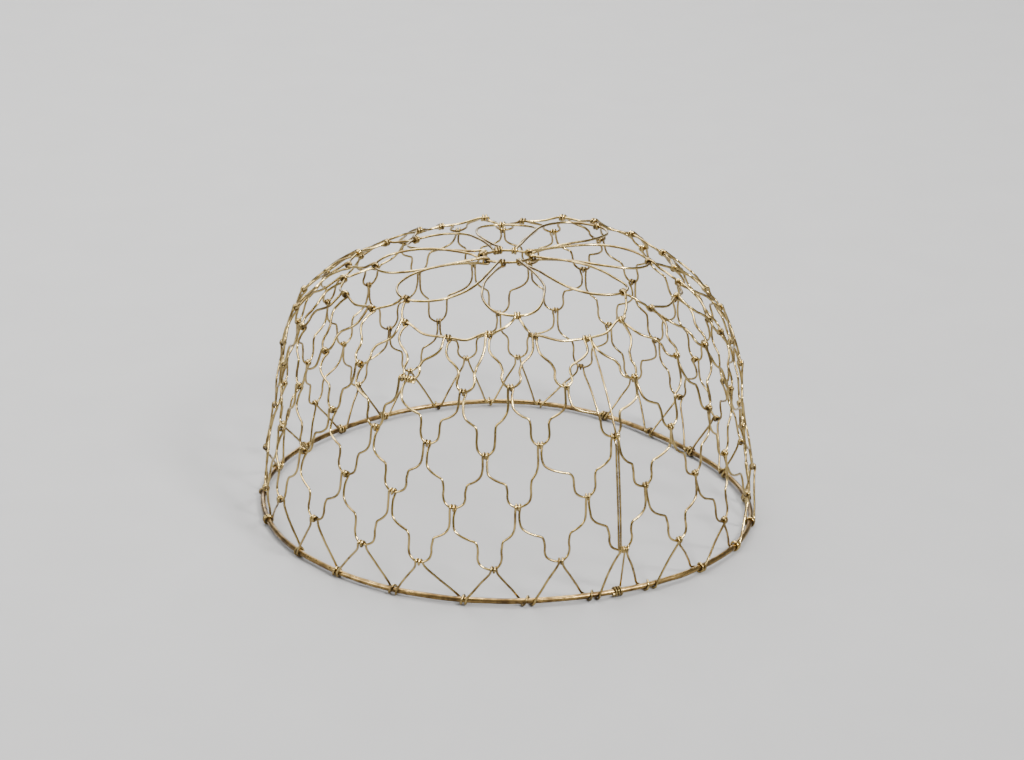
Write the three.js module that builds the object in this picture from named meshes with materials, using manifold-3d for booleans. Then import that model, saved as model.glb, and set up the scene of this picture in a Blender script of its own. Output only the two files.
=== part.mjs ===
// A gold wire cap: a dome of looped wire rows hung from a small ring at the crown and laced to a thick
// rim wire at the brow. Every row is one closed wire that hooks over the loops of the row above it.
// Millimetres, +Z up. The origin is under the middle of the rim, on the surface the cap stands on, and
// the front faces -Y. Azimuths are degrees from the front, growing towards +X.

import * as THREE from 'three';
import { mergeVertices } from 'three/addons/utils/BufferGeometryUtils.js';
import Module from 'manifold-3d';

const wasm = await Module();
wasm.setup();

// Wires: radius and number of flat sides of each one's section.
const NET_WIRE = { radius: 0.46, sides: 5 };
const RING_WIRE = { radius: 0.5, sides: 6 };
const MEND_WIRE = { radius: 0.4, sides: 5 };
const RIM_WIRE = { radius: 1.0, sides: 7 };

// How far a hook's centreline stays from the centreline of the wire that it goes round.
const HOOK_REACH = 1.75;
const RING_HOOK_REACH = 1.95;
const RIM_WRAP_REACH = 2.25;
// Half the distance between the two legs that leave one hook.
const LEG_HALF_GAP = 0.75;
// Where the points of a wrap stand round the underside of the rim, in degrees from its inner side,
// and how far along the rim its two ends stand from its middle.
const RIM_WRAP_TURNS = [0, 60, 120, 180];
const RIM_WRAP_LEAN = 1.2;
// The rim's direction at a wrap is taken over this share of one of its straight runs, to each side.
const WRAP_SPAN = 0.5;

// The dome's axis stands this far from the middle of the box around the whole cap.
const AXIS = { x: 1.28, y: -0.29 };

const LOOPS = 24;
const PETALS = 8;
const LOOP_PITCH = 360 / LOOPS;
const PETAL_PITCH = 360 / PETALS;
// Straight runs from one crossing to the next, along the rim and along the top ring.
const RIM_RUNS = 2;
const RING_RUNS = 1;

// The rings of crossings, from the crown down. Radius and height are means in mm, pitch is the angle
// between crossings, and turn is the azimuth of crossing 0. Hand bending has moved each ring off the
// axis, drawn it oval and tipped it: each of these is an amount in mm and the azimuth it points to.
const CROSSINGS = {
  ring: {
    pitch: PETAL_PITCH, turn: -18.5, radius: 8.2, height: 93.8,
    off: 0.5, offAt: -92, oval: 0.9, ovalAt: 77, tip: 0.4, tipAt: 38,
  },
  petal: {
    pitch: PETAL_PITCH, turn: -42, radius: 48.8, height: 91.6,
    off: 3.5, offAt: 23, oval: 1.3, ovalAt: -13, tip: 0.9, tipAt: 32,
  },
  scallop: {
    pitch: LOOP_PITCH, turn: -20.3, radius: 58.0, height: 88.0,
    off: 2.4, offAt: 27, oval: 1.6, ovalAt: 121, tip: 1.4, tipAt: -130,
  },
  row3: {
    pitch: LOOP_PITCH, turn: -13.3, radius: 73.8, height: 75.4,
    off: 0.9, offAt: -177, oval: 1.5, ovalAt: 62, tip: 1.6, tipAt: -167,
  },
  row4: {
    pitch: LOOP_PITCH, turn: -5.6, radius: 81.0, height: 58.3,
    off: 2.0, offAt: 166, oval: 1.7, ovalAt: 45, tip: 2.0, tipAt: -166,
  },
  row5: {
    pitch: LOOP_PITCH, turn: -12.4, radius: 84.0, height: 38.4,
    off: 0.8, offAt: 178, oval: 1.0, ovalAt: 24, tip: 0.9, tipAt: -98,
  },
  row6: {
    pitch: LOOP_PITCH, turn: -4.0, radius: 88.0, height: 17.7,
    off: 0.4, offAt: -125, oval: 0.7, ovalAt: 45, tip: 1.1, tipAt: -63,
  },
  rim: {
    pitch: LOOP_PITCH, turn: -13.3, radius: 84.8, height: 2.2,
    off: 2.3, offAt: -109, oval: 3.5, ovalAt: 62, tip: 0, tipAt: 0,
  },
};
const PROFILE = Object.keys(CROSSINGS);

// The dome as a whole is pressed a little out of level: twice and three times round.
const SADDLE = { amount: 0.6, at: -5 };
const WAVE = { amount: 1.0, at: 52 };
// The rim wire has soft corners, three of them and four, and its wraps crowd towards two sides (degrees).
const RIM_THREE_CORNERS = { amount: 1.9, at: -56 };
const RIM_FOUR_CORNERS = { amount: 1.2, at: -11 };
const RIM_CROWDING = { amount: 3.6, at: 11 };
// The crossing in the middle of each scallop hangs further out than the two beside the petals.
const SCALLOP_BELLY = 1.4;

// Crossings that are bent away from their ring: mm towards growing azimuth, and mm down. A wrap on the rim
// only slides along it.
const DENTS = [
  { row: 'petal', at: 4, across: 0, down: -1.4 },
  { row: 'petal', at: 5, across: 0, down: 2.6 },
  { row: 'scallop', at: 0, across: 1.3, down: 1 },
  { row: 'scallop', at: 1, across: -1.3, down: -0.9 },
  { row: 'scallop', at: 2, across: -1.8, down: 0 },
  { row: 'scallop', at: 3, across: 0.3, down: 2.5 },
  { row: 'scallop', at: 10, across: 0, down: -2 },
  { row: 'scallop', at: 11, across: 2, down: -1.9 },
  { row: 'scallop', at: 13, across: -0.3, down: 2 },
  { row: 'scallop', at: 15, across: 1.8, down: 1.4 },
  { row: 'scallop', at: 16, across: -2, down: -0.4 },
  { row: 'row3', at: -3, across: 0, down: 1.8 },
  { row: 'row3', at: -1, across: 1.1, down: 0 },
  { row: 'row3', at: 0, across: 1.5, down: 1.4 },
  { row: 'row3', at: 1, across: -1.8, down: -1.1 },
  { row: 'row3', at: 2, across: -2.6, down: -0.4 },
  { row: 'row3', at: 3, across: 2.6, down: 0.7 },
  { row: 'row3', at: 4, across: 1.6, down: -1.8 },
  { row: 'row3', at: 6, across: 0, down: 2 },
  { row: 'row3', at: 10, across: 0, down: -2 },
  { row: 'row3', at: 14, across: -2.2, down: -0.9 },
  { row: 'row4', at: -3, across: 2, down: 0.3 },
  { row: 'row4', at: -2, across: 1.4, down: 0 },
  { row: 'row4', at: -1, across: 0.8, down: 0.8 },
  { row: 'row4', at: 0, across: 0, down: 2.7 },
  { row: 'row4', at: 1, across: -3.2, down: -1.3 },
  { row: 'row4', at: 2, across: 0.9, down: -1.3 },
  { row: 'row4', at: 3, across: 1.9, down: 1 },
  { row: 'row4', at: 4, across: 0.3, down: 0.8 },
  { row: 'row4', at: 5, across: -3, down: 0.2 },
  { row: 'row5', at: -2, across: 1.9, down: -0.3 },
  { row: 'row5', at: 0, across: -0.5, down: 1.8 },
  { row: 'row5', at: 1, across: -1.1, down: 0.3 },
  { row: 'row5', at: 2, across: -0.1, down: -1.5 },
  { row: 'row5', at: 3, across: -0.9, down: -1.1 },
  { row: 'row5', at: 4, across: 0, down: 1.4 },
  { row: 'row5', at: 5, across: -2, down: 1.1 },
  { row: 'row5', at: 12, across: 0, down: -2.2 },
  { row: 'row5', at: 14, across: 1.5, down: 1.2 },
  { row: 'row6', at: -5, across: 1.5, down: 5.5 },
  { row: 'row6', at: -4, across: 0, down: 0.8 },
  { row: 'row6', at: -3, across: 0.4, down: -1.4 },
  { row: 'row6', at: -1, across: -1.1, down: 1.1 },
  { row: 'row6', at: 0, across: 1, down: 1 },
  { row: 'row6', at: 1, across: 0, down: -1.5 },
  { row: 'row6', at: 2, across: -1.3, down: -2.2 },
  { row: 'row6', at: 3, across: -1.7, down: 0.5 },
  { row: 'row6', at: 4, across: 0.5, down: 2 },
  { row: 'row6', at: 5, across: 0, down: 1 },
  { row: 'row6', at: 12, across: 2.4, down: -1.5 },
  { row: 'row6', at: 13, across: 0, down: -1.8 },
  { row: 'rim', at: -3, across: 3.5, down: 0 },
  { row: 'rim', at: -1, across: -1, down: 0 },
  { row: 'rim', at: 1, across: -1.9, down: 0 },
  { row: 'rim', at: 2, across: -1.4, down: 0 },
  { row: 'rim', at: 3, across: -1.6, down: 0 },
  { row: 'rim', at: 4, across: 1.5, down: 0 },
  { row: 'rim', at: 5, across: 2.2, down: 0 },
  { row: 'rim', at: 6, across: 1.6, down: 0 },
  { row: 'rim', at: 12, across: 3.5, down: 0 },
  { row: 'rim', at: 14, across: -1.6, down: 0 },
];

// Hooks that were pushed apart to let the mend wire through: half the distance between their legs.
const SPREAD_HOOKS = [
  { row: 'scallop', at: 3, halfGap: 1.6 },
  { row: 'row4', at: 2, halfGap: 2.0 },
  { row: 'row6', at: 2, halfGap: 2.0 },
];

// A leg runs from its hook to the bottom of its loop. Across and down are shares of that distance,
// and bulge is how far the middle of the leg stands out from the straight line, in mm.
const GOBLET_LEG = [
  { across: 0, down: 0.33 },
  { across: 0.57, down: 0.59 },
  { across: 0.61, down: 0.86 },
  { across: 0.85, down: 1 },
];
const PETAL_LEG = [
  { across: 0, down: 0.52 },
  { across: 0.14, down: 0.72 },
  { across: 0.4, down: 0.87 },
  { across: 0.7, down: 0.965 },
  { across: 0.93, down: 1 },
];
// Petal legs that are pulled in: how much nearer the petal's middle a leg runs, as a share of its width.
const TUCKED_LEGS = [
  { petal: 1, side: 1, tuck: 0.08 },
  { petal: 1, side: -1, tuck: 0.23 },
  { petal: 2, side: -1, tuck: 0.35 },
];
// Share of the way down a petal leg where the tuck is greatest.
const TUCK_DEEPEST = 0.75;
const LACING_LEG = [{ across: 0.04, down: 0.16 }];
const BULGE = { petal: 1.5, row3: 1.2, row4: 0.8, row5: 0.3, row6: 0.3 };
// The scallop wire lies level for this far on each side of a crossing, and sags between two of them.
const LEVEL_HALF = 1.2;
const SCALLOP_SAG = 1.4;

const radians = THREE.MathUtils.degToRad;
const lerp = THREE.MathUtils.lerp;

const bend = (amount, folds, azimuth, at) => amount * Math.cos(folds * radians(azimuth - at));
// Nothing at both ends of a run, and 1 in its middle.
const arch = (share) => 4 * share * (1 - share);
// Nothing at both ends of a run, and 1 at TUCK_DEEPEST.
const tuckArch = (share) => (share / TUCK_DEEPEST) ** 3 * ((1 - share) / (1 - TUCK_DEEPEST));

// A place on the dome in azimuth, radius and height, as a point.
function pointAt({ azimuth, radius, height }) {
  const angle = radians(azimuth);
  return new THREE.Vector3(AXIS.x + radius * Math.sin(angle), AXIS.y - radius * Math.cos(angle), height);
}

// What hand bending has done to one crossing alone, if anything.
function handBending(name, index) {
  const row = CROSSINGS[name];
  const count = Math.round(360 / row.pitch);
  const sameCrossing = (entry) => entry.row === name && (index - entry.at) % count === 0;
  return { dent: DENTS.find(sameCrossing), hook: SPREAD_HOOKS.find(sameCrossing) };
}

// One ring's shape at any crossing number, whole or not, without the dents of its crossings.
function ringPlace(name, index) {
  const row = CROSSINGS[name];
  const azimuth = row.turn + row.pitch * index;
  const radius = row.radius + bend(row.off, 1, azimuth, row.offAt) + bend(row.oval, 2, azimuth, row.ovalAt);
  const height = row.height + bend(row.tip, 1, azimuth, row.tipAt);
  if (name === 'ring') return { azimuth, radius, height };
  if (name === 'rim') {
    const crowded = azimuth + bend(RIM_CROWDING.amount, 2, azimuth, RIM_CROWDING.at);
    const oval = row.radius + bend(row.off, 1, crowded, row.offAt) + bend(row.oval, 2, crowded, row.ovalAt);
    const corners = bend(RIM_THREE_CORNERS.amount, 3, crowded, RIM_THREE_CORNERS.at)
      + bend(RIM_FOUR_CORNERS.amount, 4, crowded, RIM_FOUR_CORNERS.at);
    return { azimuth: crowded, radius: oval + corners, height };
  }
  const unevenness = bend(SADDLE.amount, 2, azimuth, SADDLE.at) + bend(WAVE.amount, 3, azimuth, WAVE.at);
  return { azimuth, radius, height: height + unevenness };
}

// Crossing number index of a ring: its place, and its directions across, down and out of the dome.
function crossing(name, index) {
  const place = ringPlace(name, index);
  const { dent, hook } = handBending(name, index);
  if (name === 'scallop') place.radius += index % 3 === 0 ? SCALLOP_BELLY : -SCALLOP_BELLY / 2;
  if (dent) {
    place.azimuth += THREE.MathUtils.radToDeg(dent.across / place.radius);
    place.height -= dent.down;
  }
  const order = PROFILE.indexOf(name);
  const above = CROSSINGS[PROFILE[Math.max(order - 1, 0)]];
  const below = CROSSINGS[PROFILE[Math.min(order + 1, PROFILE.length - 1)]];
  const angle = radians(place.azimuth);
  const outward = new THREE.Vector3(Math.sin(angle), -Math.cos(angle), 0);
  const up = new THREE.Vector3(0, 0, 1);
  const isEnd = name === 'ring';
  const fall = isEnd ? 0 : above.height - below.height;
  const reach = isEnd ? 1 : below.radius - above.radius;
  const down = outward.clone().multiplyScalar(reach).addScaledVector(up, -fall).normalize();
  const across = new THREE.Vector3(Math.cos(angle), Math.sin(angle), 0);
  const out = new THREE.Vector3().crossVectors(down, across).normalize();
  return { ...place, point: pointAt(place), across, down, out, halfGap: hook ? hook.halfGap : LEG_HALF_GAP };
}

// A point at a crossing, given in mm across, up and out.
function beside(at, across, up, out) {
  return at.point.clone().addScaledVector(at.across, across).addScaledVector(at.down, -up)
    .addScaledVector(at.out, out);
}

// Half a turn over the wire at a crossing: up outside on one side, down inside on the other.
function hookOver(at, reach = HOOK_REACH) {
  return [
    beside(at, -at.halfGap, 0, reach),
    beside(at, 0, reach, 0),
    beside(at, at.halfGap, 0, -reach),
  ];
}

// The points of one leg from its hook to the bottom of its loop.
function leg(hook, bottom, shape, bulge = 0, tuck = 0) {
  const side = Math.sign(bottom.azimuth - hook.azimuth);
  return shape.map(({ across: drawn, down }) => {
    const across = drawn + tuck * tuckArch(down);
    const radius = lerp(hook.radius, bottom.radius, down);
    const start = hook.azimuth + side * THREE.MathUtils.radToDeg(hook.halfGap / radius);
    const azimuth = lerp(start, bottom.azimuth, across);
    const height = lerp(hook.height, bottom.height, down);
    const out = hook.out.clone().lerp(bottom.out, down);
    return pointAt({ azimuth, radius, height }).addScaledVector(out, bulge * arch(down));
  });
}

// A wire's route: straight runs between its points, with a section square to the bend at each.
class WireRoute extends THREE.Curve {
  constructor(points, closed) {
    super();
    this.points = points;
    this.closed = closed;
    this.spans = closed ? points.length : points.length - 1;
  }

  pointNumber(index) {
    const count = this.points.length;
    return this.points[this.closed ? (index + count) % count : THREE.MathUtils.clamp(index, 0, count - 1)];
  }

  getPoint(share, target = new THREE.Vector3()) {
    const place = share * this.spans;
    const index = Math.min(Math.floor(place), this.spans - 1);
    return target.lerpVectors(this.pointNumber(index), this.pointNumber(index + 1), place - index);
  }

  getPointAt(share, target) {
    return this.getPoint(share, target);
  }

  getTangentAt(share, target = new THREE.Vector3()) {
    const index = Math.round(share * this.spans);
    const here = this.pointNumber(index);
    const before = here.clone().sub(this.pointNumber(index - 1)).normalize();
    const after = this.pointNumber(index + 1).clone().sub(here).normalize();
    return target.addVectors(before, after).normalize();
  }
}

// A closed wire has no ends, so its tube joins up with itself.
function closedWire(points, { radius, sides }) {
  const tube = new THREE.TubeGeometry(new WireRoute(points, true), points.length, radius, sides, true);
  return welded(tube);
}

function openWire(points, { radius, sides }) {
  const section = new THREE.Shape(Array.from({ length: sides }, (_, side) => {
    const angle = (side / sides) * 2 * Math.PI;
    return new THREE.Vector2(radius * Math.cos(angle), radius * Math.sin(angle));
  }));
  const route = new WireRoute(points, false);
  const options = { steps: route.spans, extrudePath: route, curveSegments: 1 };
  return welded(new THREE.ExtrudeGeometry(section, options));
}

function welded(geometry) {
  geometry.deleteAttribute('normal');
  geometry.deleteAttribute('uv');
  return mergeVertices(geometry);
}

function toManifold(geometry) {
  return new wasm.Manifold(new wasm.Mesh({
    numProp: 3,
    vertProperties: new Float32Array(geometry.attributes.position.array),
    triVerts: new Uint32Array(geometry.index.array),
  }));
}

// The wraps under the rim are worn flat where the cap stands on them.
function wornFlat(geometry) {
  const size = 300;
  const surface = new THREE.BoxGeometry(size, size, size).translate(0, 0, -size / 2);
  const { vertProperties, triVerts } = toManifold(geometry).subtract(toManifold(welded(surface))).getMesh();
  const cut = new THREE.BufferGeometry();
  cut.setAttribute('position', new THREE.BufferAttribute(vertProperties, 3));
  cut.setIndex(new THREE.BufferAttribute(triVerts, 1));
  return cut;
}

const eachOf = (count, make) => Array.from({ length: count }, (_, index) => make(index)).flat();

// A row of goblet loops: the wire hooks over one crossing of the row above, goes down to a loop's
// bottom, which is a crossing of its own row, and comes up again to the next hook.
function gobletWire(hooks, bottoms, bottomShift) {
  const route = eachOf(LOOPS, (index) => {
    const hook = crossing(hooks, index);
    const bottom = crossing(bottoms, index + bottomShift);
    const nextHook = crossing(hooks, index + 1);
    return [
      ...hookOver(hook),
      ...leg(hook, bottom, GOBLET_LEG, BULGE[bottoms]),
      ...leg(nextHook, bottom, GOBLET_LEG, BULGE[bottoms]).reverse(),
    ];
  });
  return closedWire(route, NET_WIRE);
}

function petalRow() {
  return eachOf(PETALS, (index) => {
    const hook = crossing('ring', index);
    const end = crossing('petal', index + 1);
    const nextHook = crossing('ring', index + 1);
    const ownLegs = TUCKED_LEGS.filter(({ petal }) => petal === index + 1);
    const tuckOf = (side) => ownLegs.find((entry) => entry.side === side)?.tuck;
    return [
      ...hookOver(hook, RING_HOOK_REACH),
      ...leg(hook, end, PETAL_LEG, BULGE.petal, tuckOf(1)),
      ...leg(nextHook, end, PETAL_LEG, BULGE.petal, tuckOf(-1)).reverse(),
    ];
  });
}

// The middle of the scallop wire between two crossings.
function sag(from, to) {
  const down = from.down.clone().add(to.down).normalize();
  return from.point.clone().lerp(to.point, 0.5).addScaledVector(down, SCALLOP_SAG);
}

function levelRun(at) {
  const half = Math.max(LEVEL_HALF, at.halfGap + NET_WIRE.radius);
  return [beside(at, -half, 0, 0), beside(at, half, 0, 0)];
}

function scallopRow() {
  return eachOf(PETALS, (index) => {
    const middle = (LOOPS / PETALS) * index;
    const [first, second, third] = [-1, 0, 1].map((step) => crossing('scallop', middle + step));
    return [
      ...hookOver(crossing('petal', index)),
      ...levelRun(first),
      sag(first, second),
      ...levelRun(second),
      sag(second, third),
      ...levelRun(third),
    ];
  });
}

// The lacing hangs from the bottoms of the lowest loops and goes half round under the rim.
function wrapUnderRim(at, lean) {
  return RIM_WRAP_TURNS.map(radians).map((angle, step) => {
    const across = lerp(-lean, lean, step / (RIM_WRAP_TURNS.length - 1));
    return at.point.clone().addScaledVector(at.across, across)
      .add(new THREE.Vector3(0, 0, -RIM_WRAP_REACH * Math.sin(angle)))
      .addScaledVector(at.level, -RIM_WRAP_REACH * Math.cos(angle));
  });
}

// A point of the rim's straight runs.
function rimPoint(index) {
  const run = index * RIM_RUNS;
  const whole = Math.floor(run);
  const [from, to] = [whole, whole + 1].map((step) => pointAt(ringPlace('rim', step / RIM_RUNS)));
  return from.lerp(to, run - whole);
}

// A wrap's place on the rim, with the rim's own direction across and the level direction out of it.
function rimCrossing(index) {
  const { dent } = handBending('rim', index);
  const slide = dent ? THREE.MathUtils.radToDeg(dent.across / CROSSINGS.rim.radius) / LOOP_PITCH : 0;
  const at = index + slide;
  const [before, after] = [-1, 1].map((step) => rimPoint(at + (step * WRAP_SPAN) / RIM_RUNS));
  const across = after.sub(before).normalize();
  const level = new THREE.Vector3(across.y, -across.x, 0);
  return { ...ringPlace('rim', at), point: rimPoint(at), across, level, out: level };
}

function lacing() {
  return eachOf(LOOPS, (index) => {
    const hook = crossing('row6', index);
    const wrap = rimCrossing(index + 1);
    const nextHook = crossing('row6', index + 1);
    return [
      ...hookOver(hook),
      ...leg(hook, wrap, LACING_LEG),
      ...wrapUnderRim(wrap, RIM_WRAP_LEAN),
      ...leg(nextHook, wrap, LACING_LEG).reverse(),
    ];
  });
}

// The mend wire hooks over the scallop, passes in front of two rows of loops and wraps the rim. It
// stays outside by one amount and bends that far above and below the crossings that it passes.
const MEND = { outside: 1.5, clear: 2.2, rimAt: 2.4 };
// The points of its hook over the scallop, in mm up from the scallop wire and out of the dome.
const MEND_HOOK = [
  { up: 0, out: -3 },
  { up: 2.2, out: -2.1 },
  { up: 3, out: 0 },
  { up: 1.8, out: 1.8 },
];

function mendWire() {
  const top = crossing('scallop', 3);
  const upper = crossing('row4', 2);
  const lower = crossing('row6', 2);
  const inFront = (at, up) => beside(at, 0, up, MEND.outside);
  return [
    ...MEND_HOOK.map(({ up, out }) => beside(top, 0, up, out)),
    inFront(top, -MEND.clear),
    inFront(upper, MEND.clear),
    inFront(upper, -MEND.clear),
    inFront(lower, MEND.clear),
    inFront(lower, -MEND.clear),
    ...wrapUnderRim(rimCrossing(MEND.rimAt), 0).reverse(),
  ];
}

function rim() {
  return eachOf(LOOPS * RIM_RUNS, (step) => [pointAt(ringPlace('rim', step / RIM_RUNS))]);
}

function topRing() {
  return eachOf(PETALS * RING_RUNS, (step) => [pointAt(ringPlace('ring', step / RING_RUNS))]);
}

const gold = (color) => new THREE.MeshStandardMaterial({ color, roughness: 0.34, metalness: 1 });

const PIECES = [
  { name: 'top_ring', color: 0xd9bd7c, geometry: () => closedWire(topRing(), RING_WIRE) },
  { name: 'petal_row', color: 0xdcc284, geometry: () => closedWire(petalRow(), NET_WIRE) },
  { name: 'scallop_row', color: 0xd9bf80, geometry: () => closedWire(scallopRow(), NET_WIRE) },
  { name: 'loop_row_3', color: 0xd4b878, geometry: () => gobletWire('scallop', 'row3', 0) },
  { name: 'loop_row_4', color: 0xcfb272, geometry: () => gobletWire('row3', 'row4', 0) },
  { name: 'loop_row_5', color: 0xcbad6c, geometry: () => gobletWire('row4', 'row5', 1) },
  { name: 'loop_row_6', color: 0xc6a866, geometry: () => gobletWire('row5', 'row6', 0) },
  { name: 'lacing', color: 0xbf9f60, geometry: () => wornFlat(closedWire(lacing(), NET_WIRE)) },
  { name: 'mend_wire', color: 0xc2a468, geometry: () => wornFlat(openWire(mendWire(), MEND_WIRE)) },
  { name: 'rim', color: 0xb8955a, geometry: () => closedWire(rim(), RIM_WIRE) },
];

const crown = new THREE.Group();
for (const { name, color, geometry } of PIECES) {
  const mesh = new THREE.Mesh(geometry(), gold(color));
  mesh.name = name;
  crown.add(mesh);
}

export default crown;
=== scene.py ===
"""Looks of a gold wire cap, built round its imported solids.

The cap is a dome of looped gold wire on a thick rim wire. Every row is one wire that is wrapped over the
loops of the row above it. Lengths below are in millimetres until a mesh is made.
"""

import logging
import math
import random
from collections.abc import Sequence
from dataclasses import dataclass, field, replace
from enum import Enum
from typing import NamedTuple

import bpy
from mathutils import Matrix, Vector


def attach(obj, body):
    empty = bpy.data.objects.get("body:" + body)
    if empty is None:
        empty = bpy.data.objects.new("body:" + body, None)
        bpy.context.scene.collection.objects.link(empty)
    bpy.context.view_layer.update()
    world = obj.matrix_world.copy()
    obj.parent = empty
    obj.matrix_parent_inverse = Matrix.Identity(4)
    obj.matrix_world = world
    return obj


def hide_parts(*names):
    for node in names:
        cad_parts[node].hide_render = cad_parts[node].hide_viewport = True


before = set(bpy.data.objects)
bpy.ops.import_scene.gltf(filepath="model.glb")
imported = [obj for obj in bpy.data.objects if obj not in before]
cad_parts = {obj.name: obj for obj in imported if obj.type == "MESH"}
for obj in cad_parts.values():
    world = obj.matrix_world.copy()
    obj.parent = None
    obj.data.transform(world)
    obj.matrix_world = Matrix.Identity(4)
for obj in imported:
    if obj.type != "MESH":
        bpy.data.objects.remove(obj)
log = logging.getLogger("gold_wire_cap")

Colour = tuple[float, float, float, float]

METRES = 0.001
UP = Vector((0.0, 0.0, 1.0))
LOOPS = 24
PETALS = 8
LOOPS_PER_PETAL = LOOPS // PETALS
LOOP_PITCH = 360 / LOOPS
PETAL_PITCH = 360 / PETALS
NET_RADIUS = 0.42
TURN_STEPS = 12
# Depth of the painted shade, from 0 to 1, where a wire passes under a wrap, beside the rim and round the
# rim.
UNDER_WRAP = 0.6
BESIDE_RIM = 0.3
ROUND_RIM = 0.8
RIM_TANGENT = 0.25


class Row(Enum):
    """The rings of crossings, from the crown down."""

    RING = "ring"
    PETAL = "petal"
    SCALLOP = "scallop"
    ROW3 = "row3"
    ROW4 = "row4"
    ROW5 = "row5"
    ROW6 = "row6"
    RIM = "rim"


@dataclass(frozen=True)
class Bend:
    """A cosine round the cap: an amount, the number of folds and the azimuth of a crest."""

    amount: float
    folds: int
    at: float

    def value(self, azimuth: float) -> float:
        """Returns the bend's amount at an azimuth in degrees."""
        return self.amount * math.cos(self.folds * math.radians(azimuth - self.at))


@dataclass(frozen=True)
class Ring:
    """One ring of crossings: its pitch, its first azimuth, its mean size and its hand bending."""

    pitch: float
    turn: float
    radius: float
    height: float
    radius_bends: tuple[Bend, ...] = ()
    height_bends: tuple[Bend, ...] = ()
    crowding: tuple[Bend, ...] = ()

    def place(self, index: float) -> tuple[float, float, float]:
        """Works out a crossing's place on the ring.

        Args:
            index: The crossing's number, whole or not.

        Returns:
            The azimuth in degrees, the radius and the height.
        """
        azimuth = self.turn + self.pitch * index
        azimuth += sum(bend.value(azimuth) for bend in self.crowding)
        radius = self.radius + sum(bend.value(azimuth) for bend in self.radius_bends)
        height = self.height + sum(bend.value(azimuth) for bend in self.height_bends)
        return azimuth, radius, height


SADDLE = Bend(0.6, 2, -5)
WAVE = Bend(1.0, 3, 52)

RINGS: dict[Row, Ring] = {
    Row.RING: Ring(PETAL_PITCH, -18.5, 8.2, 93.8, (Bend(0.5, 1, -92), Bend(0.9, 2, 77)),
                   (Bend(0.4, 1, 38),)),
    Row.PETAL: Ring(PETAL_PITCH, -42, 48.8, 91.6, (Bend(3.5, 1, 23), Bend(1.3, 2, -13)),
                    (Bend(0.9, 1, 32), SADDLE, WAVE)),
    Row.SCALLOP: Ring(LOOP_PITCH, -20.3, 58.0, 88.0, (Bend(2.4, 1, 27), Bend(1.6, 2, 121)),
                      (Bend(1.4, 1, -130), SADDLE, WAVE)),
    Row.ROW3: Ring(LOOP_PITCH, -13.3, 73.8, 75.4, (Bend(0.9, 1, -177), Bend(1.5, 2, 62)),
                   (Bend(1.6, 1, -167), SADDLE, WAVE)),
    Row.ROW4: Ring(LOOP_PITCH, -5.6, 81.0, 58.3, (Bend(2.0, 1, 166), Bend(1.7, 2, 45)),
                   (Bend(2.0, 1, -166), SADDLE, WAVE)),
    Row.ROW5: Ring(LOOP_PITCH, -12.4, 84.0, 38.4, (Bend(0.8, 1, 178), Bend(1.0, 2, 24)),
                   (Bend(0.9, 1, -98), SADDLE, WAVE)),
    Row.ROW6: Ring(LOOP_PITCH, -4.0, 88.0, 17.7, (Bend(0.4, 1, -125), Bend(0.7, 2, 45)),
                   (Bend(1.1, 1, -63), SADDLE, WAVE)),
    Row.RIM: Ring(LOOP_PITCH, -13.3, 84.8, 1.95,
                  (Bend(2.3, 1, -109), Bend(3.5, 2, 62), Bend(1.9, 3, -56), Bend(1.2, 4, -11)), (),
                  (Bend(3.6, 2, 11),)),
}
ORDER = list(Row)
AXIS = Vector((1.28, -0.29, 0.0))
SCALLOP_BELLY = 1.4


@dataclass(frozen=True)
class Dent:
    """A crossing bent away from its ring: mm towards growing azimuth, and mm down."""

    at: int
    across: float
    down: float


DENTS: dict[Row, tuple[Dent, ...]] = {
    Row.PETAL: (Dent(4, 0, -1.4), Dent(5, 0, 2.6)),
    Row.SCALLOP: (Dent(0, 1.3, 1), Dent(1, -1.3, -0.9), Dent(2, -1.8, 0), Dent(3, 0.3, 2.5),
                  Dent(10, 0, -2), Dent(11, 2, -1.9), Dent(13, -0.3, 2), Dent(15, 1.8, 1.4),
                  Dent(16, -2, -0.4)),
    Row.ROW3: (Dent(-3, 0, 1.8), Dent(-1, 1.1, 0), Dent(0, 1.5, 1.4), Dent(1, -1.8, -1.1),
               Dent(2, -2.6, -0.4), Dent(3, 2.6, 0.7), Dent(4, 1.6, -1.8), Dent(6, 0, 2), Dent(10, 0, -2),
               Dent(14, -2.2, -0.9)),
    Row.ROW4: (Dent(-3, 2, 0.3), Dent(-2, 1.4, 0), Dent(-1, 0.8, 0.8), Dent(0, 0, 2.7),
               Dent(1, -3.2, -1.3), Dent(2, 0.9, -1.3), Dent(3, 1.9, 1), Dent(4, 0.3, 0.8),
               Dent(5, -3, 0.2)),
    Row.ROW5: (Dent(-2, 1.9, -0.3), Dent(0, -0.5, 1.8), Dent(1, -1.1, 0.3), Dent(2, -0.1, -1.5),
               Dent(3, -0.9, -1.1), Dent(4, 0, 1.4), Dent(5, -2, 1.1), Dent(12, 0, -2.2),
               Dent(14, 1.5, 1.2)),
    Row.ROW6: (Dent(-5, 1.5, 5.5), Dent(-4, 0, 0.8), Dent(-3, 0.4, -1.4), Dent(-1, -1.1, 1.1),
               Dent(0, 1, 1), Dent(1, 0, -1.5), Dent(2, -1.3, -2.2), Dent(3, -1.7, 0.5), Dent(4, 0.5, 2),
               Dent(5, 0, 1), Dent(12, 2.4, -1.5), Dent(13, 0, -1.8)),
    Row.RIM: (Dent(-3, 3.5, 0), Dent(-1, -1, 0), Dent(1, -1.9, 0), Dent(2, -1.4, 0), Dent(3, -1.6, 0),
              Dent(4, 1.5, 0), Dent(5, 2.2, 0), Dent(6, 1.6, 0), Dent(12, 3.5, 0), Dent(14, -1.6, 0)),
}


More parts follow.
